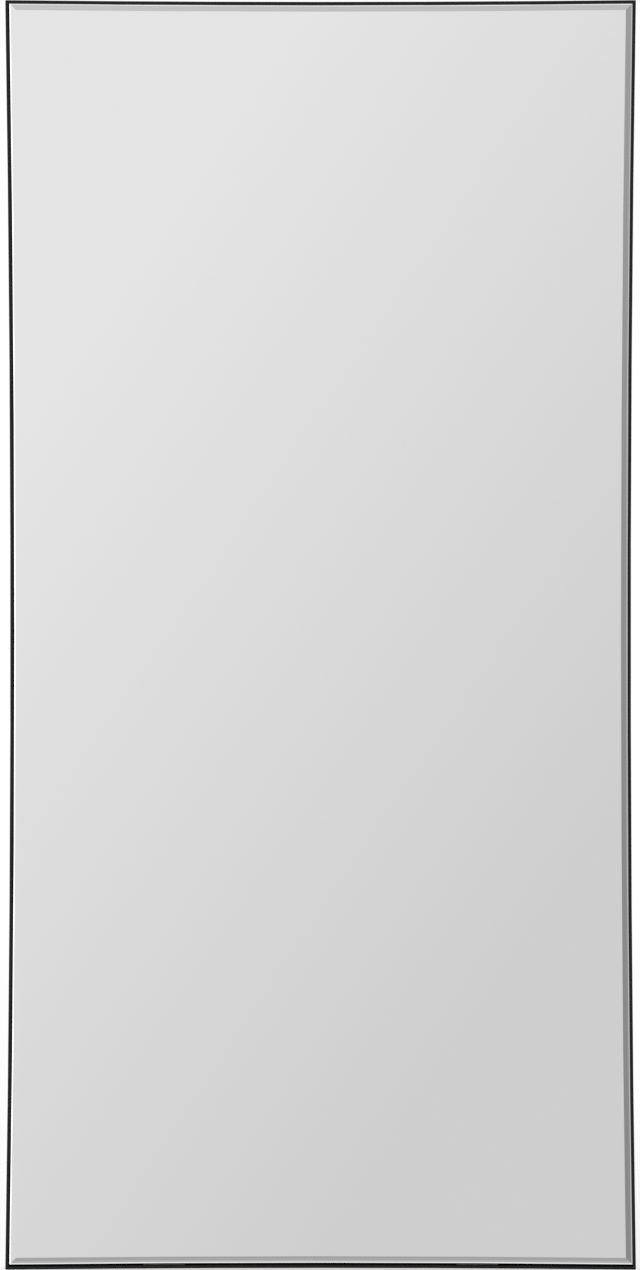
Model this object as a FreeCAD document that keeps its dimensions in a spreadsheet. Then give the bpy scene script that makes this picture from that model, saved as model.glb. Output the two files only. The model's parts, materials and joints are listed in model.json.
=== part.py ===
# Full-length wall mirror: a bevelled mirror bedded in a thin mitred metal tray frame.
# X runs across the mirror, Y from its front face back to the wall, and Z up.
# The origin is under the middle of the mirror, half way through its depth.
import FreeCAD, Part
import math
import os
import Sketcher

# Driving dimensions in millimetres
SIZES = (
    # Outline over the sharp outer corners, and how far each side is drawn in at its middle
    ("width", 914.0),
    ("height", 1840.0),
    ("side_bow", 7.4),
    ("end_bow", 2.6),
    ("corner_round", 1.6),
    # Rail extrusion: a closed chamber with a flange that carries the board
    ("rail_face", 4.4),
    ("rail_wall", 1.4),
    ("rail_ease", 0.7),
    ("flange_reach", 12.0),
    ("flange_thickness", 1.6),
    # What lies in the tray, from the front
    ("glass_recess", 0.4),
    ("glass_thickness", 5.0),
    ("tape_thickness", 1.0),
    ("board_thickness", 9.0),
    # Gaps between the rails and the glass, which stands on its setting pads, and round the board
    ("glass_gap_left", 1.4),
    ("glass_gap_right", 0.3),
    ("glass_gap_bottom", 3.0),
    ("glass_gap_top", 0.2),
    ("board_gap", 1.0),
    # Ground border of the glass
    ("bevel_width", 8.0),
    ("bevel_depth", 0.8),
    ("seam_width", 1.6),
    ("seam_depth", 0.3),
    # Foam tape strips and edge pads
    ("tape_width", 25.0),
    ("tape_side_margin", 70.0),
    ("tape_end_margin", 60.0),
    ("pad_length", 60.0),
    ("pad_end_distance", 230.0),
    ("pad_clearance", 0.05),
    # Corner keys and their set screws
    ("key_leg", 60.0),
    ("key_clearance", 0.1),
    ("set_screw_setback", 34.0),
    ("set_screw_diameter", 3.0),
    ("set_screw_room", 0.8),
    ("set_screw_land", 0.35),
    ("set_screw_point", 0.6),
    ("set_socket_width", 1.5),
    ("set_socket_depth", 1.3),
    # Pan-head screws
    ("screw_diameter", 3.5),
    ("screw_head_diameter", 6.8),
    ("screw_head_height", 2.0),
    ("screw_head_rim", 0.7),
    ("screw_head_crown", 1.5),
    ("screw_point", 2.2),
    ("screw_bite", 6.4),
    ("screw_end_room", 0.6),
    ("recess_slot", 0.7),
    ("recess_depth", 1.3),
    ("screw_clearance", 0.1),
    ("flange_screw_setback", 72.0),
    # Ring hangers
    ("strap_width", 16.0),
    ("strap_thickness", 1.2),
    ("strap_corner", 5.0),
    ("strap_screw_pitch", 14.0),
    ("strap_end_margin", 9.0),
    ("ring_wire", 3.0),
    ("ring_clearance", 0.3),
    ("ring_half_width", 14.5),
    ("ring_bend", 4.0),
    ("ring_head_gap", 5.6),
    ("hanger_side_inset", 150.0),
    ("hanger_drop", 240.0),
    ("side_hanger_inset", 110.0),
    ("side_hanger_gap", 180.0),
    # Wall bumpers
    ("wall_gap", 3.0),
    ("bumper_inset", 48.0),
    ("bumper_flare", 1.5),
    ("bumper_rim", 1.0),
    ("bumper_land", 1.2),
    ("bumper_well_depth", 4.4),
    ("washer_room", 0.3),
    ("washer_diameter", 10.0),
    ("washer_thickness", 1.0),
    # How far every cut runs past what it cuts
    ("cut_overrun", 4.0),
)

FLANGE_SCREWS_PER_SIDE = 8
FLANGE_SCREWS_PER_END = 5
TAPE_SHARES = (-1.0, -0.5, 0.0, 0.5, 1.0)

doc = FreeCAD.newDocument("full_length_mirror")
sheet = doc.addObject("Spreadsheet::Sheet", "Sizes")
for row, (alias, size) in enumerate(SIZES, 1):
    sheet.set(f"A{row}", alias)
    sheet.set(f"B{row}", str(size))
    sheet.setAlias(f"B{row}", alias)
doc.recompute()

# Values worked out from the sheet
LENGTH = "App::PropertyFloat"
ANGLE = "App::PropertyAngle"
WORKED_OUT = (
    (LENGTH, "side_radius", "((Sizes.height / 2)^2 + Sizes.side_bow^2) / (2 * Sizes.side_bow)"),
    (LENGTH, "end_radius", "((Sizes.width / 2)^2 + Sizes.end_bow^2) / (2 * Sizes.end_bow)"),
    (ANGLE, "side_turn", "asin(Sizes.height / 2 / .side_radius)"),
    (ANGLE, "end_turn", "asin(Sizes.width / 2 / .end_radius)"),
    (ANGLE, "side_mitre", "45 deg + (.side_turn - .end_turn) / 2"),
    (ANGLE, "end_mitre", "45 deg + (.end_turn - .side_turn) / 2"),
    (ANGLE, "corner_half", "45 deg - (.side_turn + .end_turn) / 2"),
    (LENGTH, "corner_across", "sin(.side_mitre) / sin(.corner_half)"),
    (LENGTH, "corner_down", "cos(.side_mitre) / sin(.corner_half)"),
    # The rounding of a corner meets the face of each rail at a slight angle
    (ANGLE, "round_crease", ".corner_half / 8"),
    (LENGTH, "round_foot", "Sizes.corner_round * cos(.corner_half + .round_crease) / sin(.corner_half)"),
    (LENGTH, "round_nose", "Sizes.corner_round * (cos(.round_crease) / sin(.corner_half) - 1)"),
    (ANGLE, "side_screw_turn", "asin((Sizes.height / 2 - Sizes.flange_screw_setback) / .side_radius)"),
    (ANGLE, "end_screw_turn", "asin((Sizes.width / 2 - Sizes.flange_screw_setback) / .end_radius)"),
    (ANGLE, "side_pad_turn", "asin((Sizes.height / 2 - Sizes.pad_end_distance) / .side_radius)"),
    (ANGLE, "end_pad_turn", "asin((Sizes.width / 2 - Sizes.pad_end_distance) / .end_radius)"),
    (LENGTH, "board_front", "Sizes.glass_recess + Sizes.glass_thickness + Sizes.tape_thickness"),
    (LENGTH, "board_back", ".board_front + Sizes.board_thickness"),
    (LENGTH, "flange_back", ".board_back + Sizes.flange_thickness"),
    (LENGTH, "set_screw_hole", "Sizes.set_screw_diameter / 2 + Sizes.screw_clearance"),
    (LENGTH, "set_screw_reach", ".set_screw_hole + Sizes.set_screw_land"),
    (LENGTH, "set_screw_depth", ".flange_back + .set_screw_reach"),
    (LENGTH, "set_screw_length", "Sizes.rail_face - Sizes.rail_wall - Sizes.set_screw_room"),
    (LENGTH, "rail_depth", ".set_screw_depth + .set_screw_reach + Sizes.key_clearance + Sizes.rail_wall"),
    (LENGTH, "front", "-(.rail_depth + Sizes.wall_gap) / 2"),
    (LENGTH, "screw_row", "Sizes.rail_face + Sizes.flange_reach / 2"),
    (LENGTH, "screw_hole", "Sizes.screw_diameter / 2 + Sizes.screw_clearance"),
    (LENGTH, "head_radius", "Sizes.screw_head_diameter / 2"),
    (LENGTH, "recess_reach", ".head_radius - Sizes.screw_head_crown"),
    (LENGTH, "loop_inner", "Sizes.ring_wire / 2 + Sizes.ring_clearance"),
    (LENGTH, "loop_outer", ".loop_inner + Sizes.strap_thickness"),
    (LENGTH, "ring_drop", "Sizes.ring_bend + Sizes.ring_half_width"),
    (LENGTH, "strap_first_screw", ".ring_drop + Sizes.ring_wire / 2 + Sizes.ring_head_gap + .head_radius"),
    (LENGTH, "strap_plate", ".strap_first_screw + Sizes.strap_screw_pitch + Sizes.strap_end_margin"),
    (LENGTH, "bumper_height", ".rail_depth + Sizes.wall_gap - .board_back"),
    (LENGTH, "bumper_well", "Sizes.washer_diameter / 2 + Sizes.washer_room"),
    (LENGTH, "bumper_tip", ".bumper_well + Sizes.bumper_land + Sizes.bumper_rim"),
    (LENGTH, "bumper_foot", ".bumper_tip + Sizes.bumper_flare"),
)
layout = doc.addObject("App::VarSet", "Layout")
for kind, alias, formula in WORKED_OUT:
    layout.addProperty(kind, alias)
    layout.setExpression(alias, formula)
    doc.recompute()


def value(formula):
    """The number that a formula gives with the sheet as it is; angles come in degrees."""
    found = layout.evalExpression(str(formula))
    return float(getattr(found, "Value", found))


# Sketching
def new_body(label, x="0", y="0", z="0", turn=0.0):
    """A body at a place given by formulas, turned about the depth axis by whole quarter turns."""
    body = doc.addObject("PartDesign::Body", label)
    body.Label = label
    body.Placement = FreeCAD.Placement(
        FreeCAD.Vector(), FreeCAD.Rotation(FreeCAD.Vector(0, 1, 0), turn)
    )
    body.setExpression("Placement.Base.x", x)
    body.setExpression("Placement.Base.y", y)
    body.setExpression("Placement.Base.z", z)
    return body


def new_sketch(body, label, role, offset="0"):
    """A sketch on one of the body's own planes, moved along that plane's normal by a formula."""
    sketch = body.newObject("Sketcher::SketchObject", f"{body.Name}_{label}")
    plane = next(item for item in body.Origin.OriginFeatures if item.Role == role)
    sketch.AttachmentSupport = [(plane, "")]
    sketch.MapMode = "FlatFace"
    sketch.setExpression("AttachmentOffset.Base.z", offset)
    return sketch


def bind(sketch, constraint, formula):
    """Add a dimension and tie it to its formula."""
    index = sketch.addConstraint(constraint)
    sketch.setExpression(f"Constraints[{index}]", formula)


def pin_point(sketch, element, end, x, y):
    """Hold one point of an element at a place given by two formulas."""
    bind(sketch, Sketcher.Constraint("DistanceX", -1, 1, element, end, value(x)), x)
    bind(sketch, Sketcher.Constraint("DistanceY", -1, 1, element, end, value(y)), y)


def end_at(sketch, element, point):
    """Which end of an element lies at a point: 1 is its start and 2 is its end."""
    from_start = (sketch.getPoint(element, 1) - point).Length
    from_end = (sketch.getPoint(element, 2) - point).Length
    return 1 if from_start < from_end else 2


def arc_between(start, end, radius, side, major):
    """An arc that bulges to the left of the run from start to end for side 1, to the right for -1."""
    chord = end - start
    left = FreeCAD.Vector(-chord.y, chord.x, 0).normalize()
    drop = math.sqrt(max(radius ** 2 - (chord.Length / 2) ** 2, 0))
    rise = radius + drop if major else radius - drop
    return Part.Arc(start, (start + end) / 2 + left * side * rise, end)


def outline(sketch, corners, arcs=None):
    """A closed outline through corners, each two formulas; arcs give a radius, a side and major."""
    arcs = arcs or {}
    points = [FreeCAD.Vector(value(x), value(y), 0) for x, y in corners]
    elements = []
    for index, start in enumerate(points):
        end = points[(index + 1) % len(points)]
        if index in arcs:
            radius, side, major = arcs[index]
            elements.append(sketch.addGeometry(arc_between(start, end, value(radius), side, major)))
        else:
            elements.append(sketch.addGeometry(Part.LineSegment(start, end)))
    for index, point in enumerate(points):
        before = elements[index - 1]
        after = elements[index]
        sketch.addConstraint(Sketcher.Constraint(
            "Coincident", before, end_at(sketch, before, point), after, end_at(sketch, after, point)
        ))
        pin_point(sketch, after, end_at(sketch, after, point), *corners[index])
    for index, (radius, _, _) in arcs.items():
        bind(sketch, Sketcher.Constraint("Radius", elements[index], value(radius)), radius)


def rectangle(sketch, left, bottom, right, top):
    """A rectangle between four formulas."""
    outline(sketch, ((left, bottom), (right, bottom), (right, top), (left, top)))


def circle(sketch, x, y, radius):
    """A circle about a place given by formulas."""
    centre = FreeCAD.Vector(value(x), value(y), 0)
    element = sketch.addGeometry(Part.Circle(centre, FreeCAD.Vector(0, 0, 1), value(radius)))
    pin_point(sketch, element, 3, x, y)
    bind(sketch, Sketcher.Constraint("Radius", element, value(radius)), radius)


# Features
def pad(sketch, length, both=False, backwards=False):
    """Raise a sketch along its normal, against it, or half to each side."""
    feature = sketch.getParentGeoFeatureGroup().newObject("PartDesign::Pad", f"{sketch.Name}_pad")
    feature.Profile = sketch
    feature.SideType = "Symmetric" if both else "One side"
    feature.Reversed = backwards
    feature.setExpression("Length", length)
    doc.recompute()
    return feature


def pocket(sketch, length):
    """Cut a sketch half to each side of its plane, and make sure that it removed something."""
    body = sketch.getParentGeoFeatureGroup()
    volume_before = body.Shape.Volume
    faces_before = len(body.Shape.Faces)
    feature = body.newObject("PartDesign::Pocket", f"{sketch.Name}_cut")
    feature.Profile = sketch
    feature.SideType = "Symmetric"
    feature.setExpression("Length", length)
    doc.recompute()
    if len(body.Shape.Faces) <= faces_before and body.Shape.Volume >= volume_before:
        raise RuntimeError(f"{feature.Name} removes nothing")
    return feature


def revolve(sketch, axis, angle="360 deg"):
    """Turn a sketch about an axis, half to each side."""
    body = sketch.getParentGeoFeatureGroup()
    feature = body.newObject("PartDesign::Revolution", f"{sketch.Name}_turned")
    feature.Profile = sketch
    feature.ReferenceAxis = (sketch, [axis])
    feature.Midplane = True
    feature.setExpression("Angle", angle)
    doc.recompute()
    return feature


def loft(first, last):
    """Join two outlines by straight lines."""
    body = first.getParentGeoFeatureGroup()
    feature = body.newObject("PartDesign::AdditiveLoft", f"{first.Name}_loft")
    feature.Profile = first
    feature.Sections = [last]
    feature.Ruled = True
    doc.recompute()
    return feature


def fillet(body, radius, chosen):
    """Round the edges for which chosen is true."""
    base = body.Tip
    names = [f"Edge{index}" for index, edge in enumerate(base.Shape.Edges, 1) if chosen(edge)]
    feature = body.newObject("PartDesign::Fillet", f"{body.Name}_rounding")
    feature.Base = (base, names)
    feature.setExpression("Radius", radius)
    doc.recompute()
    return feature


# Lines that the rails, the glass and the board share
def bowed_outline(sketch, left, right, bottom, top):
    """The mirror's outline about its own middle, drawn in by an inset on each of its sides."""
    spread = "cos(Layout.side_turn + Layout.end_turn)"

    def corner(across, up, side, end):
        inward = f"({side} * cos(Layout.end_turn) + {end} * sin(Layout.side_turn)) / {spread}"
        to_middle = f"({end} * cos(Layout.side_turn) + {side} * sin(Layout.end_turn)) / {spread}"
        return f"{across} * (Sizes.width / 2 - {inward})", f"{up} * (Sizes.height / 2 - {to_middle})"

    corners = (
        corner(1, -1, right, bottom),
        corner(1, 1, right, top),
        corner(-1, 1, left, top),
        corner(-1, -1, left, bottom),
    )
    outline(sketch, corners, {
        0: (f"Layout.side_radius + {right}", 1, False),
        1: (f"Layout.end_radius + {top}", 1, False),
        2: (f"Layout.side_radius + {left}", 1, False),
        3: (f"Layout.end_radius + {bottom}", 1, False),
    })


class Line:
    """The outer line of two facing rails: its length, bow, radius, turns and number of screws."""

    def __init__(self, kind, length, screws):
        self.length = length
        self.bow = f"Sizes.{kind}_bow"
        self.radius = f"Layout.{kind}_radius"
        self.turn = f"Layout.{kind}_turn"
        self.mitre = f"Layout.{kind}_mitre"
        self.screw_turn = f"Layout.{kind}_screw_turn"
        self.pad_turn = f"Layout.{kind}_pad_turn"
        self.screw_shares = [2 * index / (screws - 1) - 1 for index in range(screws)]

    def point(self, inset, turn):
        """Formulas for a place on the line drawn in by an inset, at a turn from its middle."""
        inward = f"((({self.radius}) + {inset}) * cos({turn}) - {self.radius})"
        along = f"((({self.radius}) + {inset}) * sin({turn}))"
        return inward, along


SIDE = Line("side", "Sizes.height", FLANGE_SCREWS_PER_SIDE)
END = Line("end", "Sizes.width", FLANGE_SCREWS_PER_END)
# Each rail's line, the place of its outer middle, and how it is turned about the depth axis
RAILS = {
    "left_rail": (SIDE, "-Sizes.width / 2 + Sizes.side_bow", "Sizes.height / 2", 0),
    "right_rail": (SIDE, "Sizes.width / 2 - Sizes.side_bow", "Sizes.height / 2", 180),
    "top_rail": (END, "0", "Sizes.height - Sizes.end_bow", 90),
    "bottom_rail": (END, "0", "Sizes.end_bow", -90),
}
CORNERS = {"top_left": (-1, 1), "top_right": (1, 1), "bottom_left": (-1, -1), "bottom_right": (1, -1)}


def from_rail(name, inward, along):
    """Formulas for the X and Z of a place given in a rail's own inward and along directions."""
    _, x, z, turn = RAILS[name]
    cosine = round(math.cos(math.radians(turn)))
    sine = round(math.sin(math.radians(turn)))
    return (
        f"({x} + {cosine} * {inward} + {sine} * {along})",
        f"({z} + {-sine} * {inward} + {cosine} * {along})",
    )


def flange_screw_seats():
    """X and Z formulas of every screw through the flanges."""
    seats = []
    for name, (line, _, _, _) in RAILS.items():
        for share in line.screw_shares:
            place = line.point("Layout.screw_row", f"{share} * {line.screw_turn}")
            seats.append(from_rail(name, *place))
    return seats


def bend_axis(sketch, line):
    """The far-off line that a rail's section is turned about, so that the rail follows its bow."""
    top = FreeCAD.Vector(-value(line.radius), 0, 0)
    foot = FreeCAD.Vector(top.x, value("Layout.rail_depth"), 0)
    axis = sketch.addGeometry(Part.LineSegment(top, foot), True)
    pin_point(sketch, axis, 1, f"-{line.radius}", "0")
    pin_point(sketch, axis, 2, f"-{line.radius}", "Layout.rail_depth")


# Frame rails
def rail(name):
    """A rail: its extruded section bent along the bow, mitred at both ends and drilled."""
    line, x, z, turn = RAILS[name]
    body = new_body(name, x, "Layout.front", z, turn)
    face = "Sizes.rail_face"
    depth = "Layout.rail_depth"
    wall = "Sizes.rail_wall"
    ease = "Sizes.rail_ease"
    over = "Sizes.cut_overrun"
    lip = f"({face} + Sizes.flange_reach)"

    section = new_sketch(body, "section", "XY_Plane")
    outline(section, (
        ("0", ease),
        (ease, "0"),
        (f"{face} - {ease}", "0"),
        (face, ease),
        (face, "Layout.board_back"),
        (lip, "Layout.board_back"),
        (lip, "Layout.flange_back"),
        (face, "Layout.flange_back"),
        (face, depth),
        ("0", depth),
    ), {0: (ease, -1, False), 2: (ease, -1, False)})
    rectangle(section, wall, wall, f"{face} - {wall}", f"{depth} - {wall}")
    bend_axis(section, line)
    revolve(section, "Axis0", f"2 * asin(({line.length} + {over}) / 2 / {line.radius})")

    cuts = new_sketch(body, "mitres", "XZ_Plane")
    rounds = new_sketch(body, "rounds", "XZ_Plane")
    for sign in (1, -1):
        half = f"{line.length} / 2"
        top = f"{sign} * ({half} + {over} / tan({line.mitre}))"
        far = f"{sign} * ({half} - ({lip} + {over} + {line.bow}) / tan({line.mitre}))"
        outline(cuts, ((f"-{line.bow} - {over}", top), (f"{lip} + {over}", far), (f"{lip} + {over}", top)))
        foot = (
            f"-{line.bow} + Layout.round_foot * sin({line.turn})",
            f"{half} - Layout.round_foot * cos({line.turn})",
        )
        outline(rounds, (
            (foot[0], f"{sign} * ({foot[1]})"),
            (
                f"-{line.bow} + Layout.round_nose * sin({line.mitre})",
                f"{sign} * ({half} - Layout.round_nose * cos({line.mitre}))",
            ),
            (
                f"-{line.bow} - {over} * sin({line.mitre})",
                f"{sign} * ({half} + {over} * cos({line.mitre}))",
            ),
            (
                f"{foot[0]} - {over} * cos({line.turn})",
                f"{sign} * ({foot[1]} - {over} * sin({line.turn}))",
            ),
        ), {0: ("Sizes.corner_round", sign, False)})
    pocket(cuts, f"2 * ({depth} + {over})")
    pocket(rounds, f"2 * ({depth} + {over})")

    holes = new_sketch(body, "flange_holes", "XZ_Plane", "-Layout.board_back - Sizes.flange_thickness / 2")
    for share in line.screw_shares:
        place = line.point("Layout.screw_row", f"{share} * {line.screw_turn}")
        circle(holes, *place, "Layout.screw_hole")
    pocket(holes, "Sizes.flange_thickness + 2 * Sizes.cut_overrun")

    inner_wall = f"-{line.radius} + sqrt({line.radius}^2 - ({half} - Sizes.set_screw_setback)^2)"
    key_holes = new_sketch(body, "key_holes", "YZ_Plane", f"{inner_wall} + {face} - {wall} / 2")
    for sign in (1, -1):
        place = f"{sign} * ({half} - Sizes.set_screw_setback)"
        circle(key_holes, "Layout.set_screw_depth", place, "Layout.set_screw_hole")
    pocket(key_holes, f"2 * {wall}")
    return body


# Corner keys
def corner_key(name, across, up):
    """A flat steel angle that fills the chambers of two rails at one corner."""
    body = new_body(
        name, f"{across} * Sizes.width / 2", "Layout.front", f"(1 + {up}) * Sizes.height / 2"
    )
    outer = "(Sizes.rail_wall + Sizes.key_clearance)"
    inner = "(Sizes.rail_face - Sizes.rail_wall - Sizes.key_clearance)"
    leg = "Sizes.key_leg"

    def side_leg(inset):
        return (
            f"{-across} * ({leg} * sin(Layout.side_turn) + {inset} * cos(Layout.side_turn))",
            f"{-up} * ({leg} * cos(Layout.side_turn) - {inset} * sin(Layout.side_turn))",
        )

    def end_leg(inset):
        return (
            f"{-across} * ({leg} * cos(Layout.end_turn) - {inset} * sin(Layout.end_turn))",
            f"{-up} * ({leg} * sin(Layout.end_turn) + {inset} * cos(Layout.end_turn))",
        )

    def elbow(inset):
        return f"{-across} * {inset} * Layout.corner_across", f"{-up} * {inset} * Layout.corner_down"

    plan = new_sketch(body, "plan", "XZ_Plane", f"-{outer}")
    outline(plan, (
        elbow(outer), end_leg(outer), end_leg(inner), elbow(inner), side_leg(inner), side_leg(outer)
    ))
    pad(plan, "Layout.rail_depth - 2 * (Sizes.rail_wall + Sizes.key_clearance)", backwards=True)
    radius = "Layout.set_screw_hole"
    middle = "Sizes.rail_face / 2"
    reach = "2 * Sizes.rail_face"
    side_hole = new_sketch(body, "side_hole", "YZ_Plane", f"{-across} * {middle}")
    circle(side_hole, "Layout.set_screw_depth", f"{-up} * Sizes.set_screw_setback", radius)
    pocket(side_hole, reach)
    end_hole = new_sketch(body, "end_hole", "XY_Plane", f"{-up} * {middle}")
    circle(end_hole, f"{-across} * Sizes.set_screw_setback", "Layout.set_screw_depth", radius)
    pocket(end_hole, reach)
    return body


# Glass and what lies behind it
def mirror_glass():
    """The mirror: a flat pane with a ground seam and a shallow bevel along its front border."""
    body = new_body("mirror_glass", "0", "Layout.front + Sizes.glass_recess", "Sizes.height / 2")
    levels = (
        ("edge", "0", "-(Sizes.bevel_depth + Sizes.seam_depth)"),
        ("seam", "Sizes.seam_width", "-Sizes.bevel_depth"),
        ("bevel", "Sizes.seam_width + Sizes.bevel_width", "0"),
    )
    gaps = [f"Sizes.glass_gap_{side}" for side in ("left", "right", "bottom", "top")]
    outlines = []
    for label, border, offset in levels:
        sketch = new_sketch(body, label, "XZ_Plane", offset)
        bowed_outline(sketch, *(f"(Sizes.rail_face + {gap} + {border})" for gap in gaps))
        outlines.append(sketch)
    pad(outlines[0], "Sizes.glass_thickness - Sizes.bevel_depth - Sizes.seam_depth", backwards=True)
    loft(outlines[0], outlines[1])
    loft(outlines[1], outlines[2])
    return body


def backing_board(hanger_seats, bumper_seats):
    """The board that the glass is taped to, with its blind screw holes in the back."""
    body = new_body("backing_board", "0", "Layout.front + Layout.board_front", "Sizes.height / 2")
    plan = new_sketch(body, "plan", "XZ_Plane")
    bowed_outline(plan, *["(Sizes.rail_face + Sizes.board_gap)"] * 4)
    pad(plan, "Sizes.board_thickness", backwards=True)
    screwed_on = {"frame": flange_screw_seats(), "hanger": hanger_seats, "bumper": bumper_seats}
    for label, seats in screwed_on.items():
        holes = new_sketch(body, f"{label}_holes", "XZ_Plane", "-Sizes.board_thickness")
        for x, z in seats:
            circle(holes, x, f"{z} - Sizes.height / 2", "Layout.screw_hole")
        pocket(holes, "2 * (Sizes.screw_bite + Sizes.screw_end_room)")
    return body


def mounting_tape(number, share):
    """One upright strip of foam tape between the glass and the board."""
    strip = doc.addObject("Part::Box", f"mounting_tape_{number}")
    strip.Label = f"mounting_tape_{number}"
    strip.setExpression("Length", "Sizes.tape_width")
    strip.setExpression("Width", "Sizes.tape_thickness")
    strip.setExpression("Height", "Sizes.height - 2 * Sizes.tape_end_margin")
    middle = f"{share} * (Sizes.width / 2 - Sizes.tape_side_margin)"
    strip.setExpression("Placement.Base.x", f"{middle} - Sizes.tape_width / 2")
    strip.setExpression("Placement.Base.y", "Layout.front + Sizes.glass_recess + Sizes.glass_thickness")
    strip.setExpression("Placement.Base.z", "Sizes.tape_end_margin")
    return strip


def edge_pad(name, rail_name, sign):
    """A rubber pad that fills the gap between a rail and the edge of the glass."""
    line, _, _, turn = RAILS[rail_name]
    gap = f"Sizes.glass_gap_{rail_name.removesuffix('_rail')}"
    x, z = from_rail(rail_name, *line.point("0", f"({sign} * {line.pad_turn})"))
    body = new_body(name, x, "Layout.front", z, turn)
    body.setExpression("Placement.Rotation.Angle", f"{turn} deg - {sign} * {line.pad_turn}")
    section = new_sketch(body, "section", "XY_Plane")
    rectangle(
        section,
        "Sizes.rail_face",
        "Sizes.glass_recess + Sizes.bevel_depth + Sizes.seam_depth",
        f"Sizes.rail_face + {gap} - Sizes.pad_clearance",
        "Sizes.glass_recess + Sizes.glass_thickness",
    )
    bend_axis(section, line)
    revolve(section, "Axis0", f"2 * asin(Sizes.pad_length / 2 / {line.radius})")
    return body


# Screws
def pan_screw(label, length):
    """A pan-head screw with a cross recess, its head outward along Y from its seat at zero."""
    body = new_body(label)
    radius = "Sizes.screw_diameter / 2"
    section = new_sketch(body, "section", "XY_Plane")
    outline(section, (
        ("0", f"-({length})"),
        (radius, f"-({length}) + Sizes.screw_point"),
        (radius, "0"),
        ("Layout.head_radius", "0"),
        ("Layout.head_radius", "Sizes.screw_head_rim"),
        ("Layout.head_radius - Sizes.screw_head_crown", "Sizes.screw_head_height"),
        ("0", "Sizes.screw_head_height"),
    ), {4: ("Sizes.screw_head_crown + Sizes.screw_head_rim / 2", -1, False)})
    revolve(section, "V_Axis")
    recess = new_sketch(body, "recess", "XZ_Plane", "-Sizes.screw_head_height")
    arm = "Layout.recess_reach"
    slot = "Sizes.recess_slot / 2"
    outline(recess, (
        (arm, f"-{slot}"), (arm, slot), (slot, slot), (slot, arm), (f"-{slot}", arm), (f"-{slot}", slot),
        (f"-{arm}", slot), (f"-{arm}", f"-{slot}"), (f"-{slot}", f"-{slot}"), (f"-{slot}", f"-{arm}"),
        (slot, f"-{arm}"), (slot, f"-{slot}"),
    ))
    pocket(recess, "2 * Sizes.recess_depth")
    return body


def set_screw(label):
    """A headless screw with a pointed end and a hexagon socket, its socket end at zero along Y."""
    body = new_body(label)
    radius = "Sizes.set_screw_diameter / 2"
    section = new_sketch(body, "section", "XY_Plane")
    outline(section, (
        ("0", "-Layout.set_screw_length"),
        (f"{radius} - Sizes.set_screw_point", "-Layout.set_screw_length"),
        (radius, "-Layout.set_screw_length + Sizes.set_screw_point"),
        (radius, "0"),
        ("0", "0"),
    ))
    revolve(section, "V_Axis")
    socket = new_sketch(body, "socket", "XZ_Plane")
    across_corners = "Sizes.set_socket_width / 2 / cos(30 deg)"
    outline(socket, [
        (f"{across_corners} * cos({60 * turn} deg)", f"{across_corners} * sin({60 * turn} deg)")
        for turn in range(6)
    ])
    pocket(socket, "2 * Sizes.set_socket_depth")
    return body


def group(name, master, placements):
    """Separate copies of one fastener in one node."""
    node = doc.addObject("Part::Feature", name)
    node.Label = name
    copies = []
    for placement in placements:
        copy = master.Shape.copy()
        copy.Placement = placement
        copies.append(copy)
    node.Shape = Part.makeCompound(copies)
    node.Placement = FreeCAD.Placement(FreeCAD.Vector(0, value("Layout.front"), 0), FreeCAD.Rotation())
    return node


def facing_back(seats, depth):
    """Placements of screws driven from the back at X and Z formulas, seated at a depth."""
    return [
        FreeCAD.Placement(FreeCAD.Vector(value(x), value(depth), value(z)), FreeCAD.Rotation())
        for x, z in seats
    ]


def set_screw_placements():
    """Placements of the set screws, flush with the inner walls of the rails."""
    placements = []
    for name, (line, _, _, turn) in RAILS.items():
        for sign in (1, -1):
            setback = f"({line.length} / 2 - Sizes.set_screw_setback)"
            sag = f"({line.radius} - sqrt({line.radius}^2 - {setback}^2))"
            x, z = from_rail(name, f"(Sizes.rail_face - {sag})", f"({sign} * {setback})")
            inward = FreeCAD.Rotation(FreeCAD.Vector(0, 1, 0), turn).multVec(FreeCAD.Vector(1, 0, 0))
            placements.append(FreeCAD.Placement(
                FreeCAD.Vector(value(x), value("Layout.set_screw_depth"), value(z)),
                FreeCAD.Rotation(FreeCAD.Vector(0, 1, 0), inward),
            ))
    return placements


# Ring hangers
HANGER_X = "(Sizes.width / 2 - Sizes.hanger_side_inset)"
HANGER_Z = "(Sizes.height - Sizes.hanger_drop)"
SIDE_HANGER_X = "(Sizes.width / 2 - Sizes.side_hanger_inset)"
SIDE_HANGER_DROP = "(Sizes.hanger_drop + Sizes.side_hanger_gap)"
HANGERS = {
    "left": (f"-{HANGER_X}", HANGER_Z, 0),
    "right": (HANGER_X, HANGER_Z, 0),
    "side_upper": (SIDE_HANGER_X, f"(Sizes.height - {SIDE_HANGER_DROP})", 90),
    "side_lower": (SIDE_HANGER_X, SIDE_HANGER_DROP, 90),
}
HANGER_DEPTH = "Layout.front + Layout.board_back + Layout.loop_outer"


def hanger_screw_seats():
    """X and Z formulas of the two screws of each hanger strap."""
    seats = []
    for x, z, turn in HANGERS.values():
        for step in range(2):
            distance = f"(Layout.strap_first_screw + {step} * Sizes.strap_screw_pitch)"
            if turn:
                seats.append((f"({x} - {distance})", z))
            else:
                seats.append((x, f"({z} - {distance})"))
    return seats


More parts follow.
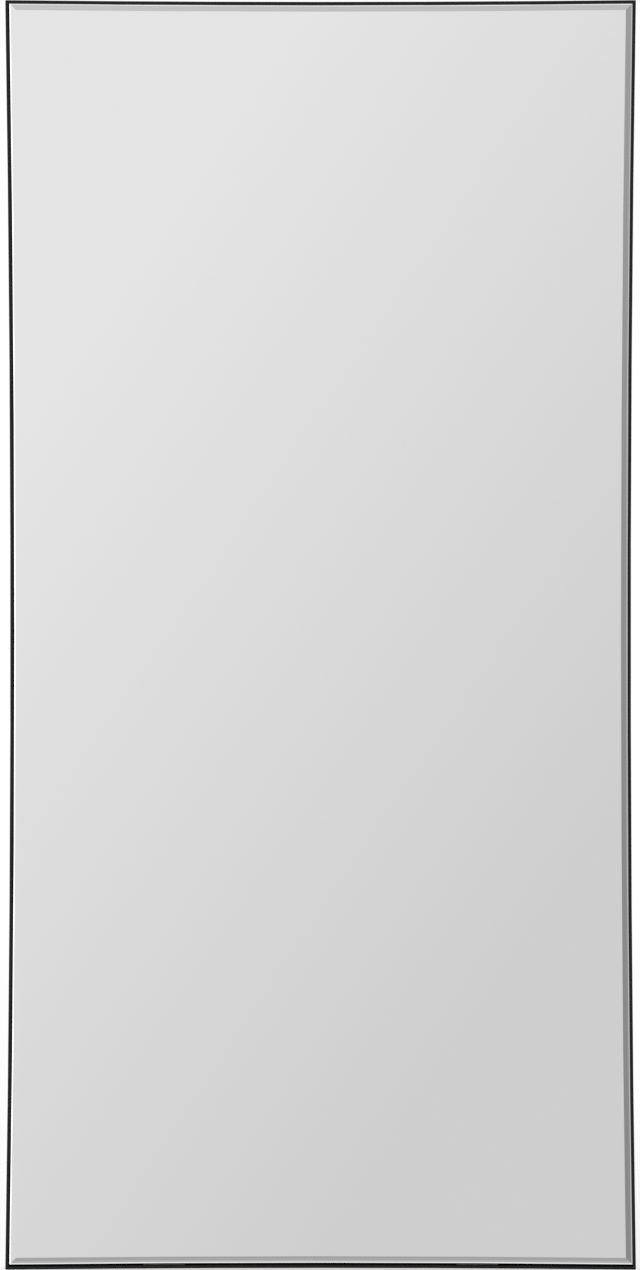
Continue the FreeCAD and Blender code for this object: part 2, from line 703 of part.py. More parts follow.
def hanger_strap(name, x, z, turn):
    """A steel strap, flat on the board below and curled round the bar of its ring at the top."""
    body = new_body(name, x, HANGER_DEPTH, z, turn)
    section = new_sketch(body, "section", "YZ_Plane")
    inner = "Layout.loop_inner"
    outer = "Layout.loop_outer"
    plate = "Layout.strap_plate"
    outline(section, (
        (f"-{outer}", "0"),
        ("0", f"-{outer}"),
        ("0", f"-{inner}"),
        (f"-{inner}", "0"),
        (f"-{inner}", f"-{plate}"),
        (f"-{outer}", f"-{plate}"),
    ), {0: (outer, 1, True), 2: (inner, -1, True)})
    pad(section, "Sizes.strap_width", both=True)
    holes = new_sketch(body, "holes", "XZ_Plane", outer)
    for step in range(2):
        distance = f"-(Layout.strap_first_screw + {step} * Sizes.strap_screw_pitch)"
        circle(holes, "0", distance, "Layout.screw_hole")
    pocket(holes, "2 * Sizes.strap_thickness + Sizes.cut_overrun")
    low = -value(plate)

    def at_plate_end(edge):
        flat = abs(edge.BoundBox.XLength) < edge.Length / 2 and edge.BoundBox.ZLength < edge.Length / 2
        return flat and abs(edge.CenterOfMass.z - low) < value("Sizes.strap_thickness") / 2

    fillet(body, "Sizes.strap_corner", at_plate_end)
    return body


def hanger_ring(name, x, z, turn):
    """A steel wire ring, straight along its pivot and round below."""
    body = new_body(name, x, HANGER_DEPTH, z, turn)
    half = "Sizes.ring_half_width"
    bend = "Sizes.ring_bend"
    path = new_sketch(body, "path", "XZ_Plane")
    outline(path, (
        (f"-({half} - {bend})", "0"),
        (f"{half} - {bend}", "0"),
        (half, f"-{bend}"),
        ("0", "-Layout.ring_drop"),
        (f"-{half}", f"-{bend}"),
    ), {1: (bend, 1, False), 2: (half, 1, False), 3: (half, 1, False), 4: (bend, 1, False)})
    wire = new_sketch(body, "wire", "YZ_Plane")
    circle(wire, "0", "0", "Sizes.ring_wire / 2")
    feature = body.newObject("PartDesign::AdditivePipe", f"{name}_pipe")
    feature.Profile = wire
    feature.Spine = path
    feature.Transition = "Transformed"
    doc.recompute()
    return body


# Wall bumpers
BUMPER_X = "(Sizes.width / 2 - Sizes.bumper_inset)"
BUMPER_Z = "(Sizes.height / 2 - Sizes.bumper_inset)"


def bumper_seats():
    """X and Z formulas of the four bumpers."""
    return [
        (f"({across} * {BUMPER_X})", f"(Sizes.height / 2 + {up} * {BUMPER_Z})")
        for across, up in CORNERS.values()
    ]


def wall_bumper(name, x, z):
    """A rubber foot that stands on the board and reaches past the frame to the wall."""
    body = new_body(name, x, "Layout.front + Layout.board_back", z)
    section = new_sketch(body, "section", "XY_Plane")
    hole = "Layout.screw_hole"
    well = "Layout.bumper_well"
    floor = "(Layout.bumper_height - Sizes.bumper_well_depth)"
    outline(section, (
        (hole, "0"),
        ("Layout.bumper_foot", "0"),
        ("Layout.bumper_tip", "Layout.bumper_height - Sizes.bumper_rim"),
        ("Layout.bumper_tip - Sizes.bumper_rim", "Layout.bumper_height"),
        (well, "Layout.bumper_height"),
        (well, floor),
        (hole, floor),
    ), {2: ("Sizes.bumper_rim", -1, False)})
    revolve(section, "V_Axis")
    return body


def washer(label):
    """A flat steel washer, lying on its seat at zero along Y."""
    body = new_body(label)
    section = new_sketch(body, "section", "XY_Plane")
    rectangle(
        section,
        "Layout.screw_hole",
        "0",
        "Sizes.washer_diameter / 2",
        "Sizes.washer_thickness",
    )
    revolve(section, "V_Axis")
    return body


# Assembly
nodes = [rail(name) for name in RAILS]
for corner, (across, up) in CORNERS.items():
    nodes.append(corner_key(f"corner_key_{corner}", across, up))
nodes.append(group("corner_set_screws", set_screw("set_screw"), set_screw_placements()))

nodes.append(mirror_glass())
for number, share in enumerate(TAPE_SHARES, 1):
    nodes.append(mounting_tape(number, share))
nodes.append(backing_board(hanger_screw_seats(), bumper_seats()))
nodes.append(edge_pad("setting_pad_left", "bottom_rail", 1))
nodes.append(edge_pad("setting_pad_right", "bottom_rail", -1))
nodes.append(edge_pad("edge_pad_left_upper", "left_rail", 1))
nodes.append(edge_pad("edge_pad_left_lower", "left_rail", -1))
nodes.append(edge_pad("edge_pad_right_upper", "right_rail", -1))
nodes.append(edge_pad("edge_pad_right_lower", "right_rail", 1))

flange_screw = pan_screw("flange_screw", "Sizes.flange_thickness + Sizes.screw_bite")
nodes.append(group("flange_screws", flange_screw, facing_back(flange_screw_seats(), "Layout.flange_back")))

for corner, (x, z, turn) in HANGERS.items():
    nodes.append(hanger_strap(f"hanger_strap_{corner}", x, z, turn))
    nodes.append(hanger_ring(f"hanger_ring_{corner}", x, z, turn))
strap_face = "Layout.board_back + Sizes.strap_thickness"
hanger_screw = pan_screw("hanger_screw", "Sizes.strap_thickness + Sizes.screw_bite")
nodes.append(group("hanger_screws", hanger_screw, facing_back(hanger_screw_seats(), strap_face)))

for corner, (x, z) in zip(CORNERS, bumper_seats()):
    nodes.append(wall_bumper(f"wall_bumper_{corner}", x, z))
well_floor = "Layout.rail_depth + Sizes.wall_gap - Sizes.bumper_well_depth"
nodes.append(group("bumper_washers", washer("washer"), facing_back(bumper_seats(), well_floor)))
through_bumper = "Layout.bumper_height - Sizes.bumper_well_depth + Sizes.washer_thickness"
bumper_screw = pan_screw("bumper_screw", f"{through_bumper} + Sizes.screw_bite")
washer_face = f"{well_floor} + Sizes.washer_thickness"
nodes.append(group("bumper_screws", bumper_screw, facing_back(bumper_seats(), washer_face)))

# Check and write
doc.recompute()
for item in doc.Objects:
    if "Invalid" in item.State or "Error" in item.State:
        raise RuntimeError(f"{item.Name} is {item.State}")
for node in nodes:
    if node.Shape.isNull() or not node.Shape.isValid():
        raise RuntimeError(f"{node.Label} has no valid shape")

os.makedirs("parts", exist_ok=True)
for node in nodes:
    node.Shape.exportStep(os.path.join("parts", f"{node.Label}.step"))
print(f"{len(nodes)} nodes written")
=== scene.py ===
"""Looks of the full-length mirror: finishes on its fixed frame, a plain pale studio and the camera."""
import json
import math

import bpy
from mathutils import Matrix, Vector


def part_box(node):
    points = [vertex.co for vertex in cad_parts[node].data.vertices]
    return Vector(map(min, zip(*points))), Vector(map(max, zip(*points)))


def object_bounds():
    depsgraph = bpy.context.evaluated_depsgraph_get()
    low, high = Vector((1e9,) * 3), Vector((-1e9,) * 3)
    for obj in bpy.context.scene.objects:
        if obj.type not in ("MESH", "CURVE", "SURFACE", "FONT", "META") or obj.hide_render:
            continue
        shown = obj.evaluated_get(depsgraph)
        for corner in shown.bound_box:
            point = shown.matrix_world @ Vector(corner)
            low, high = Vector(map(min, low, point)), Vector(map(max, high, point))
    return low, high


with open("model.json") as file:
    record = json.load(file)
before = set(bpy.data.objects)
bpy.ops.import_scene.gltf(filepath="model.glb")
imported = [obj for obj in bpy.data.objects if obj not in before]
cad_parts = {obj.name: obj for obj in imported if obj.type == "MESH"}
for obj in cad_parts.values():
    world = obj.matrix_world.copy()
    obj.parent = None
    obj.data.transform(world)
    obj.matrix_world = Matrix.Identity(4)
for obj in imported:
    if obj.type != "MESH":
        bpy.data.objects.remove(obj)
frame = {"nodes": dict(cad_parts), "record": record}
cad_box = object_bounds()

# Shape of the mirror, read from the frame's own boxes, in metres
WHOLE = [Vector(corner) for corner in cad_box]
MIDDLE_HEIGHT = (WHOLE[0].z + WHOLE[1].z) / 2
HALF_WIDTH = (WHOLE[1].x - WHOLE[0].x) / 2
HALF_HEIGHT = (WHOLE[1].z - WHOLE[0].z) / 2
FRONT = WHOLE[0].y
GLASS_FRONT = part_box("mirror_glass")[0][1]
BOARD_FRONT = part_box("backing_board")[0][1]

# The photograph's size, and in it the mirror's width over its corners and its middle, in pixels
PHOTO_WIDTH = 640
PHOTO_HEIGHT = 1270
PHOTO_SPAN_X = 630.15
OBJECT_CENTRE = (320.6, 634.9)
# How many pixels thinner a dark outer edge looks where a pixel's light is averaged
EDGE_THINNING = 0.3
METRES_PER_PIXEL = 2 * HALF_WIDTH / (PHOTO_SPAN_X + 2 * EDGE_THINNING)

# The camera's distance from the frame's face in metres, and its sensor in millimetres
CAMERA_DISTANCE = 3.5
SENSOR = 36.0


def add(tree, kind, inputs=None, **settings):
    """Add a node; inputs map a socket's name or number to a value or to another node's socket."""
    made = tree.nodes.new(kind)
    for name, setting in settings.items():
        setattr(made, name, setting)
    for name, given in (inputs or {}).items():
        if isinstance(given, bpy.types.NodeSocket):
            tree.links.new(given, made.inputs[name])
        else:
            made.inputs[name].default_value = given
    return made


def calc(tree, operation, *terms, clamp=False):
    """One step of arithmetic."""
    return add(
        tree, "ShaderNodeMath", dict(enumerate(terms)), operation=operation, use_clamp=clamp
    ).outputs[0]


def smooth(tree, value, low, high, at_low=0.0, at_high=1.0):
    """A soft step from one value to another while the input goes from low to high."""
    step = add(tree, "ShaderNodeMapRange", {
        "Value": value, "From Min": low, "From Max": high, "To Min": at_low, "To Max": at_high
    }, interpolation_type="SMOOTHSTEP")
    return step.outputs["Result"]


def straight(tree, value, low, high, at_low=0.0, at_high=1.0):
    """A straight ramp from one value to another, held level past both ends."""
    ramp = add(tree, "ShaderNodeMapRange", {
        "Value": value, "From Min": low, "From Max": high, "To Min": at_low, "To Max": at_high
    }, clamp=True)
    return ramp.outputs["Result"]


def blend(tree, factor, first, second):
    """A number part way from first to second."""
    return add(
        tree, "ShaderNodeMix", {"Factor": factor, "A": first, "B": second}, data_type="FLOAT"
    ).outputs["Result"]


def blend_colour(tree, factor, first, second):
    """A colour part way from first to second."""
    mixed = add(tree, "ShaderNodeMix", {"Factor": factor}, data_type="RGBA")
    for name, given in (("A", first), ("B", second)):
        socket = next(item for item in mixed.inputs if item.name == name and item.type == "RGBA")
        if isinstance(given, bpy.types.NodeSocket):
            tree.links.new(given, socket)
        else:
            socket.default_value = (*given, 1.0)
    return next(item for item in mixed.outputs if item.type == "RGBA")


def noise(tree, place, scale, detail=3.0, roughness=0.55, distortion=0.0):
    """Soft random values about a half, with a grain of one over scale metres."""
    return add(tree, "ShaderNodeTexNoise", {
        "Vector": place, "Scale": scale, "Detail": detail, "Roughness": roughness, "Distortion": distortion
    }).outputs["Fac"]


def cells(tree, place, scale, output):
    """Random cells, one over scale metres across: their colours, or the distances from their middles."""
    return add(tree, "ShaderNodeTexVoronoi", {"Vector": place, "Scale": scale}).outputs[output]


def stretched(tree, place, scale):
    """Coordinates scaled differently along each axis."""
    return add(tree, "ShaderNodeMapping", {"Vector": place, "Scale": scale}).outputs["Vector"]


def weighed(tree, first, first_share, second):
    """A mean of two values, the first one counting for its share."""
    rest = calc(tree, "MULTIPLY", second, 1 - first_share)
    return calc(tree, "ADD", calc(tree, "MULTIPLY", first, first_share), rest)


class Finish:
    """A material with its object coordinates at hand and one shader to fill in."""

    def __init__(self, name):
        self.material = bpy.data.materials.new(name)
        self.material.use_nodes = True
        self.tree = self.material.node_tree
        self.shader = self.tree.nodes["Principled BSDF"]
        self.place = add(self.tree, "ShaderNodeTexCoord").outputs["Object"]
        parts = add(self.tree, "ShaderNodeSeparateXYZ", {"Vector": self.place})
        self.x, self.y, self.z = parts.outputs

    def set(self, **inputs):
        """Set or link sockets of the shader; an underscore stands for a space."""
        for name, given in inputs.items():
            socket = self.shader.inputs[name.replace("_", " ")]
            if isinstance(given, bpy.types.NodeSocket):
                self.tree.links.new(given, socket)
            elif socket.type == "RGBA":
                socket.default_value = (*given, 1.0)
            else:
                socket.default_value = given

    def bump(self, height, distance, strength=1.0, under=None):
        """Raise the surface by a height times a distance in metres, on top of the bump under it."""
        inputs = {"Height": height, "Distance": distance, "Strength": strength}
        if under is not None:
            inputs["Normal"] = under
        made = add(self.tree, "ShaderNodeBump", inputs)
        self.tree.links.new(made.outputs["Normal"], self.shader.inputs["Normal"])
        return made.outputs["Normal"]


# Powder coat: its tones, its gloss and how much its grain counts beside its orange peel
COAT_DEEP = (0.005, 0.005, 0.0053)
COAT_PALE = (0.009, 0.009, 0.0093)
COAT_SPECULAR = 0.26
COAT_GRAIN_SHARE = 0.35
# Hairline at a mitre, in metres: half its width, its soft edge's outer end, its reach from the corner
# and how far it fades on either side of that reach
JOINT_HALF_WIDTH = 0.00006
JOINT_SOFT_END = 0.00022
JOINT_REACH = 0.019
JOINT_REACH_FADE = 0.0005
# What the hairline adds: its tone, more roughness and a depth told in heights of the orange peel
JOINT_BLACK = (0.002, 0.002, 0.002)
JOINT_ROUGHNESS = 0.3
JOINT_DEPTH = 4.0


def mitre_hairline(finish):
    """One on the line where two rails meet at a corner, nothing elsewhere."""
    tree = finish.tree
    from_side = calc(tree, "SUBTRACT", HALF_WIDTH, calc(tree, "ABSOLUTE", finish.x))
    height = calc(tree, "ABSOLUTE", calc(tree, "SUBTRACT", finish.z, MIDDLE_HEIGHT))
    from_end = calc(tree, "SUBTRACT", HALF_HEIGHT, height)
    from_mitre = calc(tree, "ABSOLUTE", calc(tree, "SUBTRACT", from_side, from_end))
    near_corner = straight(
        tree, calc(tree, "MAXIMUM", from_side, from_end),
        JOINT_REACH - JOINT_REACH_FADE, JOINT_REACH + JOINT_REACH_FADE, at_low=1.0, at_high=0.0,
    )
    line = smooth(tree, from_mitre, JOINT_HALF_WIDTH, JOINT_SOFT_END, at_low=1.0, at_high=0.0)
    return calc(tree, "MULTIPLY", line, near_corner)


def black_coating():
    """Satin black powder coat: fine grain, a faint orange peel and a hairline at each mitre."""
    finish = Finish("black_coating")
    tree = finish.tree
    grain = noise(tree, finish.place, scale=2600.0, detail=2.0)
    peel = noise(tree, finish.place, scale=420.0, detail=2.0)
    cloud = noise(tree, finish.place, scale=9.0, detail=4.0)
    joint = mitre_hairline(finish)
    shade = blend_colour(tree, straight(tree, cloud, low=0.35, high=0.65), COAT_DEEP, COAT_PALE)
    coat_roughness = straight(tree, peel, low=0.3, high=0.7, at_low=0.34, at_high=0.42)
    finish.set(
        Base_Color=blend_colour(tree, joint, shade, JOINT_BLACK),
        Roughness=calc(tree, "ADD", coat_roughness, calc(tree, "MULTIPLY", joint, JOINT_ROUGHNESS)),
        Specular_IOR_Level=COAT_SPECULAR,
    )
    relief = calc(tree, "ADD", calc(tree, "MULTIPLY", grain, COAT_GRAIN_SHARE), peel)
    relief = calc(tree, "SUBTRACT", relief, calc(tree, "MULTIPLY", joint, JOINT_DEPTH))
    finish.bump(relief, distance=0.00002, strength=0.4)
    return finish.material


# Metres behind the front of the glass where the seam starts and ends, and the depth that each change takes
SEAM_START = 0.00081
SEAM_END = 0.00111
SEAM_CHANGE = 0.00002
# How far the polished bevel falls below a flat one at its outer end, in metres
BEVEL_CROWN = 0.000136
# The silvered face's tint and roughness, and its cut edge's two tones and roughness
MIRROR_TINT = (0.95, 0.951, 0.95)
MIRROR_ROUGHNESS = 0.008
EDGE_DEEP = (0.20, 0.30, 0.26)
EDGE_PALE = (0.34, 0.46, 0.41)
EDGE_ROUGHNESS = 0.45


def silvered_glass():
    """Silvered glass: a clear reflection on face and bevel, a honed seam and pale green cut edges."""
    finish = Finish("silvered_glass_face")
    tree = finish.tree
    depth = calc(tree, "SUBTRACT", finish.y, GLASS_FRONT)
    honed = straight(tree, depth, SEAM_START, SEAM_START + SEAM_CHANGE)
    cut = straight(tree, depth, SEAM_END, SEAM_END + SEAM_CHANGE)
    speckle = noise(tree, finish.place, scale=3000.0, detail=2.0)
    seam_roughness = straight(tree, speckle, low=0.3, high=0.7, at_low=0.05, at_high=0.10)
    silvered_roughness = blend(tree, honed, MIRROR_ROUGHNESS, seam_roughness)
    finish.set(
        Base_Color=blend_colour(tree, cut, MIRROR_TINT, blend_colour(tree, speckle, EDGE_DEEP, EDGE_PALE)),
        Metallic=straight(tree, cut, low=0.0, high=1.0, at_low=1.0, at_high=0.0),
        Roughness=blend(tree, cut, silvered_roughness, EDGE_ROUGHNESS),
    )
    fall = calc(tree, "DIVIDE", depth, SEAM_START, clamp=True)
    polish = calc(tree, "MULTIPLY", calc(tree, "MULTIPLY", fall, fall), -1.0)
    rounded = finish.bump(polish, distance=BEVEL_CROWN)
    finish.bump(calc(tree, "MULTIPLY", speckle, cut), distance=0.00004, strength=0.6, under=rounded)
    return finish.material


# Pressed fibre: its own two tones, and those of its mottles, clouds and flecks
FIBRE_DEEP = (0.335, 0.225, 0.135)
FIBRE_PALE = (0.46, 0.335, 0.22)
MOTTLE_BROWN = (0.30, 0.20, 0.118)
CLOUD_BROWN = (0.31, 0.21, 0.125)
FLECK_BROWN = (0.17, 0.10, 0.058)
# How much its tangle counts beside its dust, and how its flecks are drawn out upwards
TANGLE_SHARE = 0.7
FLECK_STRETCH = (1.0, 1.0, 0.45)
# Black spray on the board's front, and how far it reaches round the edges in metres; partly a real finish,
# partly painted shade darkening the gap between glass and frame
SPRAY_AND_SHADE_BLACK = (0.008, 0.008, 0.008)
SPRAY_AND_SHADE_DEPTH = 0.0004


def fibreboard():
    """Pressed wood fibre, tangled, flecked and clouded, sprayed black where it faces the glass; that black
    is partly painted shade in the gap round the glass.
    """
    finish = Finish("fibreboard_sheet")
    tree = finish.tree
    tangle = noise(tree, finish.place, scale=520.0, detail=5.0, roughness=0.72, distortion=1.6)
    dust = noise(tree, finish.place, scale=2600.0, detail=2.0, roughness=0.6)
    mottle = noise(tree, finish.place, scale=48.0, detail=4.0, roughness=0.6)
    cloud = noise(tree, finish.place, scale=6.0, detail=4.0)
    drawn = stretched(tree, finish.place, FLECK_STRETCH)
    fleck = noise(tree, drawn, scale=330.0, detail=2.0, roughness=0.5, distortion=2.5)
    body = weighed(tree, tangle, TANGLE_SHARE, dust)
    colour = blend_colour(tree, straight(tree, body, low=0.38, high=0.62), FIBRE_DEEP, FIBRE_PALE)
    for pattern, low, high, most, brown in (
        (mottle, 0.36, 0.66, 0.4, MOTTLE_BROWN),
        (cloud, 0.36, 0.66, 0.4, CLOUD_BROWN),
        (fleck, 0.66, 0.74, 0.5, FLECK_BROWN),
    ):
        colour = blend_colour(tree, straight(tree, pattern, low, high, at_high=most), colour, brown)
    # The black front is partly painted shade: it darkens the gap between the glass and the frame
    behind_front = calc(tree, "SUBTRACT", finish.y, BOARD_FRONT)
    sprayed_and_shaded = straight(tree, behind_front, SPRAY_AND_SHADE_DEPTH / 2, SPRAY_AND_SHADE_DEPTH, at_low=1.0, at_high=0.0)
    finish.set(
        Base_Color=blend_colour(tree, sprayed_and_shaded, colour, SPRAY_AND_SHADE_BLACK),
        Roughness=straight(tree, tangle, low=0.3, high=0.7, at_low=0.92, at_high=0.8),
    )
    finish.bump(body, distance=0.0001, strength=0.5)
    return finish.material


# Plated steel: how much its clouds count beside its crystals, and how its scratches change the roughness
CLOUD_SHARE = 0.7
SCRATCH_SMOOTHER = -0.07
SCRATCH_ROUGHER = 0.1
# How the scratches are drawn: the same all ways, or as long ones upwards
EVEN_BRUSH = (1.0, 1.0, 1.0)
LONG_BRUSH = (1.0, 1.0, 0.12)


def plated_steel(name, dark, light, roughness, brush=EVEN_BRUSH):
    """Plated steel: clouded tone, fine drawn scratches and a soft lustre."""
    finish = Finish(name)
    tree = finish.tree
    cloud = noise(tree, finish.place, scale=160.0)
    scratch = noise(tree, stretched(tree, finish.place, brush), scale=2400.0, roughness=0.7)
    crystal = add(tree, "ShaderNodeSeparateColor", {"Color": cells(tree, finish.place, 650.0, "Color")})
    tone = weighed(tree, cloud, CLOUD_SHARE, crystal.outputs["Red"])
    wear = straight(tree, scratch, low=0.3, high=0.7, at_low=SCRATCH_SMOOTHER, at_high=SCRATCH_ROUGHER)
    finish.set(
        Base_Color=blend_colour(tree, straight(tree, tone, low=0.3, high=0.7), dark, light),
        Metallic=1.0,
        Roughness=calc(tree, "ADD", roughness, wear),
    )
    finish.bump(scratch, distance=0.00002, strength=0.5)
    return finish.material


# How much paler rubber is where it blooms
RUBBER_BLOOM = 2.1


def rubber(name, tone, grain):
    """Matt rubber with a moulded grain and a little bloom."""
    finish = Finish(name)
    tree = finish.tree
    pores = noise(tree, finish.place, scale=grain)
    bloom = noise(tree, finish.place, scale=120.0)
    pale = tuple(channel * RUBBER_BLOOM for channel in tone)
    finish.set(
        Base_Color=blend_colour(tree, straight(tree, bloom, low=0.35, high=0.75), tone, pale),
        Roughness=straight(tree, pores, low=0.3, high=0.7, at_low=0.82, at_high=0.66),
    )
    finish.bump(pores, distance=0.00008, strength=0.7)
    return finish.material


# Foam: the tones of its pores and of the walls between them
FOAM_PORE = (0.12, 0.12, 0.125)
FOAM_WALL = (0.3, 0.3, 0.31)


def foam_tape():
    """Grey closed-cell foam with fine pores."""
    finish = Finish("grey_foam")
    tree = finish.tree
    wall = straight(tree, cells(tree, finish.place, 2200.0, "Distance"), low=0.1, high=0.5)
    finish.set(Base_Color=blend_colour(tree, wall, FOAM_PORE, FOAM_WALL), Roughness=0.9)
    finish.bump(wall, distance=0.0001, strength=0.8)
    return finish.material


# Finishes on the frame's own pieces, by the slot that each carries
FINISHES = {
    "frame_metal": black_coating(),
    "silvered_glass": silvered_glass(),
    "fibreboard": fibreboard(),
    "key_steel": plated_steel(
        "galvanised_key", dark=(0.42, 0.43, 0.44), light=(0.62, 0.63, 0.64), roughness=0.4
    ),
    "zinc_steel": plated_steel(
        "zinc_plate", dark=(0.50, 0.51, 0.52), light=(0.72, 0.73, 0.74), roughness=0.3, brush=LONG_BRUSH
    ),
    "screw_steel": plated_steel(
        "bright_zinc", dark=(0.56, 0.57, 0.58), light=(0.76, 0.77, 0.78), roughness=0.26
    ),
    "set_screw_steel": plated_steel(
        "black_oxide", dark=(0.05, 0.05, 0.052), light=(0.09, 0.09, 0.092), roughness=0.38
    ),
    "pad_rubber": rubber("pad_rubber_black", tone=(0.016, 0.016, 0.016), grain=1500.0),
    "bumper_rubber": rubber("bumper_rubber_black", tone=(0.014, 0.014, 0.014), grain=1100.0),
    "foam_tape": foam_tape(),
}
SLOTS = {part["node"]: part["material_slot"] for part in frame["record"]["subparts"]}
for node_name, node_object in frame["nodes"].items():
    node_object.data.materials.clear()
    node_object.data.materials.append(FINISHES[SLOTS[node_name]])


# The room in the glass fades from light to dark along a line that falls to the right at this angle
FADE_ANGLE = math.radians(34.4)
# Where on that line the fade starts and ends, in the photograph's pixels from its upper left corner
FADE_START = 270.0
FADE_END = 960.0
FADE_LIGHT = 0.817
FADE_DARK = 0.650
# The flat of the glass reflects directions whose parts across and up are no more than these
FLAT_ACROSS = 0.13
FLAT_UP = 0.26
# The room beyond them, zone by zone: the part of the direction that counts, where the zone's soft edge
# starts and ends, and the zone's light or the name of its fade
ROOM_ZONES = (
    # What the bevel and the seam at the top reflect to the camera, and the room past that
    ("up", 0.28, 0.40, "high"),
    ("up", 0.49, 0.57, 0.95),
    ("up", 0.63, 0.72, "far"),
    # The same at the bottom
    ("up", -0.28, -0.40, 0.385),
    ("up", -0.45, -0.575, 0.9),
    ("up", -0.63, -0.72, "far"),
    # The same on the right
    ("across", 0.17, 0.29, "right"),
    ("across", 0.35, 0.46, 0.55),
    ("across", 0.53, 0.62, "far"),
    # The seam on the left, whose bevel reflects what the flat does, and the room past that
    ("across", -0.41, -0.46, 1.5),
    ("across", -0.53, -0.60, "far"),
)
# The zones' fades: the part of the direction that counts, its two ends and the light at each
ROOM_FADES = {
    "high": ("across", -0.12, 0.12, 0.58, 0.525),
    "right": ("up", -0.1, 0.24, 0.263, 0.345),
    "far": ("up", -0.6, 0.6, 0.58, 0.78),
}
# Light of the room on matt surfaces
ROOM_AMBIENT = 0.7


def studio_world():
    """White to the camera; to metal and glass, a pale room a little darker to the lower right."""
    world = bpy.data.worlds.new("studio")
    bpy.context.scene.world = world
    world.use_nodes = True
    tree = world.node_tree
    background = tree.nodes["Background"]
    direction = add(tree, "ShaderNodeTexCoord").outputs["Generated"]
    across, _, up = add(tree, "ShaderNodeSeparateXYZ", {"Vector": direction}).outputs
    parts = {"across": across, "up": up}
    near_across = add(tree, "ShaderNodeClamp", {"Value": across, "Min": -FLAT_ACROSS, "Max": FLAT_ACROSS})
    near_up = add(tree, "ShaderNodeClamp", {"Value": up, "Min": -FLAT_UP, "Max": FLAT_UP})
    reach = CAMERA_DISTANCE / METRES_PER_PIXEL
    to_right = calc(tree, "MULTIPLY", near_across.outputs[0], reach * math.cos(FADE_ANGLE))
    to_top = calc(tree, "MULTIPLY", near_up.outputs[0], reach * math.sin(FADE_ANGLE))
    picture_middle = (PHOTO_WIDTH * math.cos(FADE_ANGLE) + PHOTO_HEIGHT * math.sin(FADE_ANGLE)) / 2
    along = calc(tree, "ADD", calc(tree, "SUBTRACT", to_right, to_top), picture_middle)
    room = straight(tree, along, FADE_START, FADE_END, FADE_LIGHT, FADE_DARK)
    fades = {name: straight(tree, parts[part], *fade) for name, (part, *fade) in ROOM_FADES.items()}
    for part, start, end, light in ROOM_ZONES:
        room = blend(tree, smooth(tree, parts[part], start, end), room, fades.get(light, light))
    rays = add(tree, "ShaderNodeLightPath").outputs
    sharp = calc(tree, "ADD", rays["Is Glossy Ray"], rays["Is Transmission Ray"], clamp=True)
    strength = blend(tree, rays["Is Camera Ray"], blend(tree, sharp, ROOM_AMBIENT, room), 1.0)
    tree.links.new(strength, background.inputs["Strength"])
    background.inputs["Color"].default_value = (1.0, 1.0, 1.0, 1.0)


# Floor in metres: its size, its drop below the mirror, and where plain white takes over from the shadow
FLOOR_SIZE = 40.0
FLOOR_DROP = 0.0005
SHADOW_END = 1.2
WHITE_START = 4.0
# Its paint, and what the camera sees of it near the mirror: a darker paint under an even glow
FLOOR_PAINT = (0.86, 0.86, 0.86, 1.0)
SHADOW_PAINT = (0.4, 0.4, 0.4, 1.0)
SHADOW_GLOW = 0.6


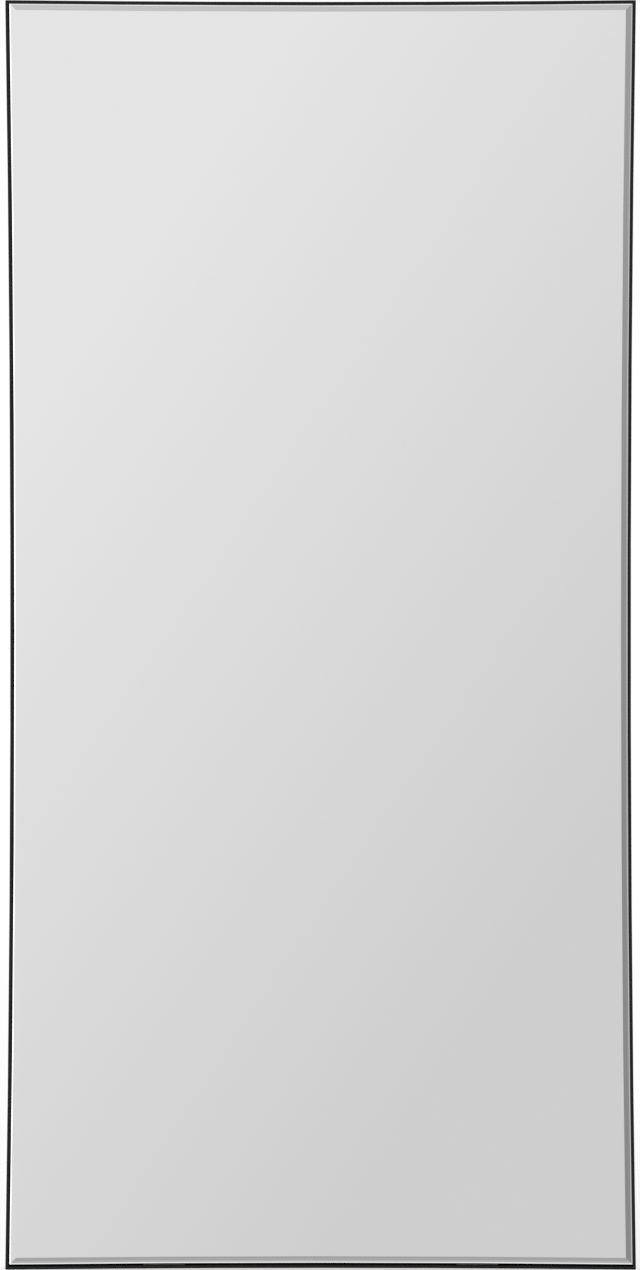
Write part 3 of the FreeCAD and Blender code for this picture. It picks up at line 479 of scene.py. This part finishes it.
def floor():
    """A plain pale floor: white to the camera, with the object's soft shadow left near it."""
    bpy.ops.mesh.primitive_plane_add(size=FLOOR_SIZE, location=(0, 0, WHOLE[0].z - FLOOR_DROP))
    plane = bpy.context.object
    plane.name = "floor"
    material = bpy.data.materials.new("floor_white")
    material.use_nodes = True
    tree = material.node_tree
    place = add(tree, "ShaderNodeTexCoord").outputs["Object"]
    from_middle = add(tree, "ShaderNodeVectorMath", {0: place}, operation="LENGTH").outputs["Value"]
    away = smooth(tree, from_middle, SHADOW_END, WHITE_START)
    paint = add(tree, "ShaderNodeBsdfDiffuse", {"Color": FLOOR_PAINT})
    shaded = add(tree, "ShaderNodeBsdfDiffuse", {"Color": SHADOW_PAINT})
    glow = add(tree, "ShaderNodeEmission", {"Strength": SHADOW_GLOW})
    near = add(tree, "ShaderNodeAddShader", {0: shaded.outputs[0], 1: glow.outputs[0]})
    white = add(tree, "ShaderNodeEmission", {"Strength": 1.0})
    seen = add(tree, "ShaderNodeMixShader", {0: away, 1: near.outputs[0], 2: white.outputs[0]})
    camera_ray = add(tree, "ShaderNodeLightPath").outputs["Is Camera Ray"]
    mixed = add(tree, "ShaderNodeMixShader", {0: camera_ray, 1: paint.outputs[0], 2: seen.outputs[0]})
    output = tree.nodes["Material Output"]
    tree.links.new(mixed.outputs[0], output.inputs["Surface"])
    plane.data.materials.append(material)
    plane.visible_glossy = False


def lamp(name, place, size, power):
    """A soft square lamp, its size in metres and its power in watts, aimed at the middle of the mirror."""
    data = bpy.data.lights.new(name, "AREA")
    data.shape = "SQUARE"
    data.size = size
    data.energy = power
    holder = bpy.data.objects.new(name, data)
    bpy.context.scene.collection.objects.link(holder)
    holder.location = place
    aim = Vector((0, 0, MIDDLE_HEIGHT)) - holder.location
    holder.rotation_euler = aim.to_track_quat("-Z", "Y").to_euler()
    holder.visible_glossy = False


def camera():
    """The photograph's square-on view, its width and height filled as in the photograph."""
    data = bpy.data.cameras.new("camera")
    data.sensor_fit = "AUTO"
    data.sensor_width = SENSOR
    data.lens = SENSOR * CAMERA_DISTANCE / (METRES_PER_PIXEL * PHOTO_HEIGHT)
    holder = bpy.data.objects.new("camera", data)
    bpy.context.scene.collection.objects.link(holder)
    right_of_middle = (OBJECT_CENTRE[0] - PHOTO_WIDTH / 2) * METRES_PER_PIXEL
    below_middle = (OBJECT_CENTRE[1] - PHOTO_HEIGHT / 2) * METRES_PER_PIXEL
    holder.location = (-right_of_middle, FRONT - CAMERA_DISTANCE, MIDDLE_HEIGHT + below_middle)
    holder.rotation_euler = (math.radians(90), 0, 0)
    bpy.context.scene.camera = holder


studio_world()
floor()
lamp("key", place=(-2.6, -2.4, 3.0), size=1.8, power=60.0)
lamp("fill", place=(2.4, 2.6, 2.4), size=2.0, power=50.0)
camera()
bpy.context.scene.view_settings.view_transform = "Standard"
